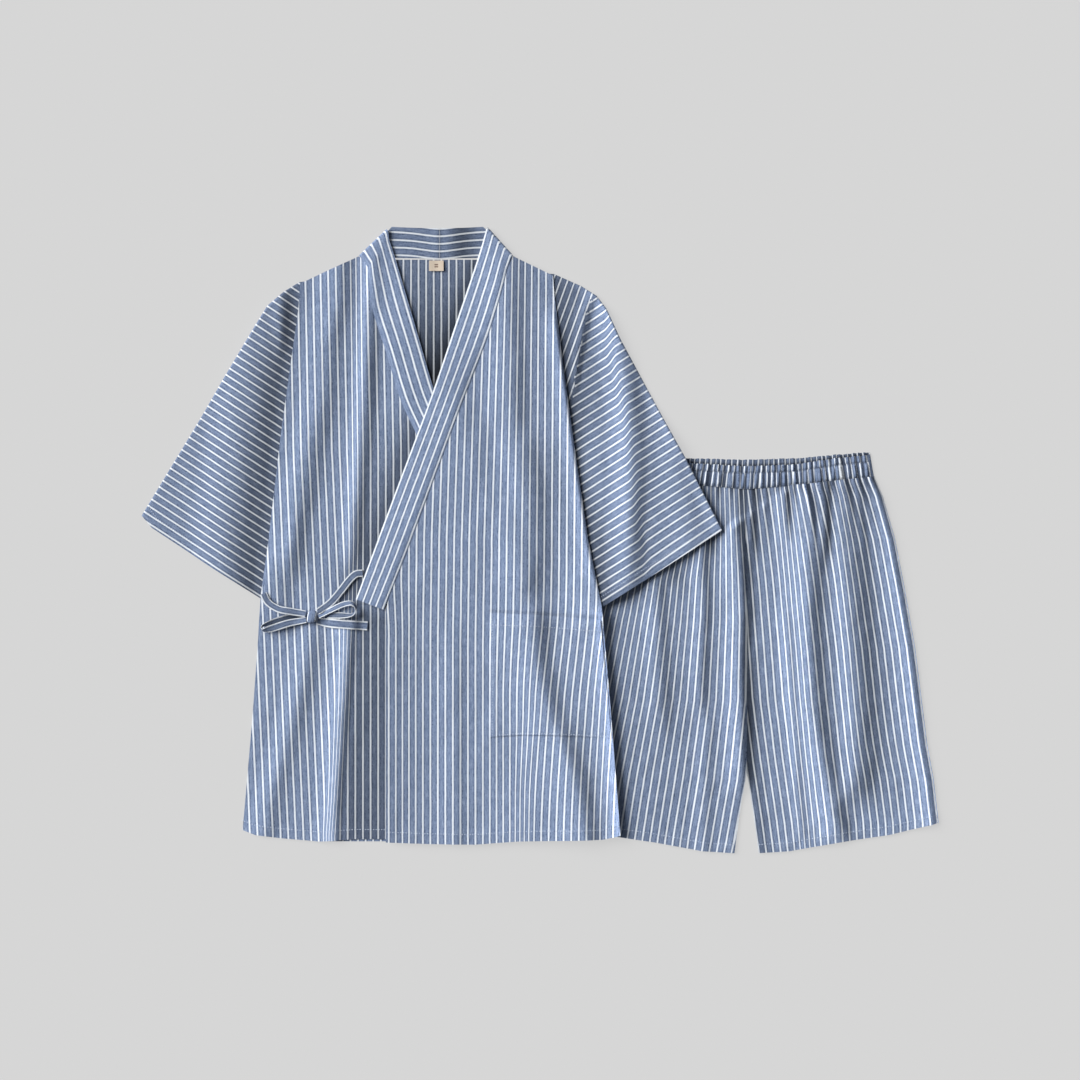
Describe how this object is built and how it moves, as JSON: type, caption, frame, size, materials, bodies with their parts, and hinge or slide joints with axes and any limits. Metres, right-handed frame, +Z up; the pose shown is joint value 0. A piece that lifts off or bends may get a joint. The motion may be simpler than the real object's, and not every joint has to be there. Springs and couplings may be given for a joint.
{
  "type": "jinbei set",
  "caption": "Jinbei set laid flat: a wrap jacket with short sleeves, a band collar, a pocket and a tied side bow, lying partly over drawn-waist shorts, in striped cotton.",
  "frame": {"origin": "centre of the layout's outline on the surface that the set lies on", "axes": "+X to the right of the layout, from the jacket to the shorts; +Y towards the jacket's collar; +Z up from the surface, towards the viewer"},
  "size_m": [0.9835, 0.7733, 0.0194],
  "materials": {
    "striped_cotton": "light mottled blue cotton with narrow white warp stripes, matt, with a faintly puckered hand",
    "tie_cotton": "the same blue cotton in a narrow folded tie with a white stripe along its edges, matt",
    "label_tape": null
  },
  "bodies": {
    "root": {"jacket_back": "striped_cotton", "jacket_front_right": "striped_cotton", "jacket_front_left": "striped_cotton", "sleeve_right": "striped_cotton", "sleeve_left": "striped_cotton", "collar_right": "striped_cotton", "collar_left": "striped_cotton", "pocket": "striped_cotton", "label": "label_tape", "tie_side": "tie_cotton", "tie_front": "tie_cotton", "bow_knot": "tie_cotton", "bow_loop_left": "tie_cotton", "bow_loop_right": "tie_cotton", "bow_tail": "tie_cotton", "shorts_front_right": "striped_cotton", "shorts_front_left": "striped_cotton", "shorts_back_right": "striped_cotton", "shorts_back_left": "striped_cotton", "waistband": "striped_cotton"}
  },
  "joints": []
}
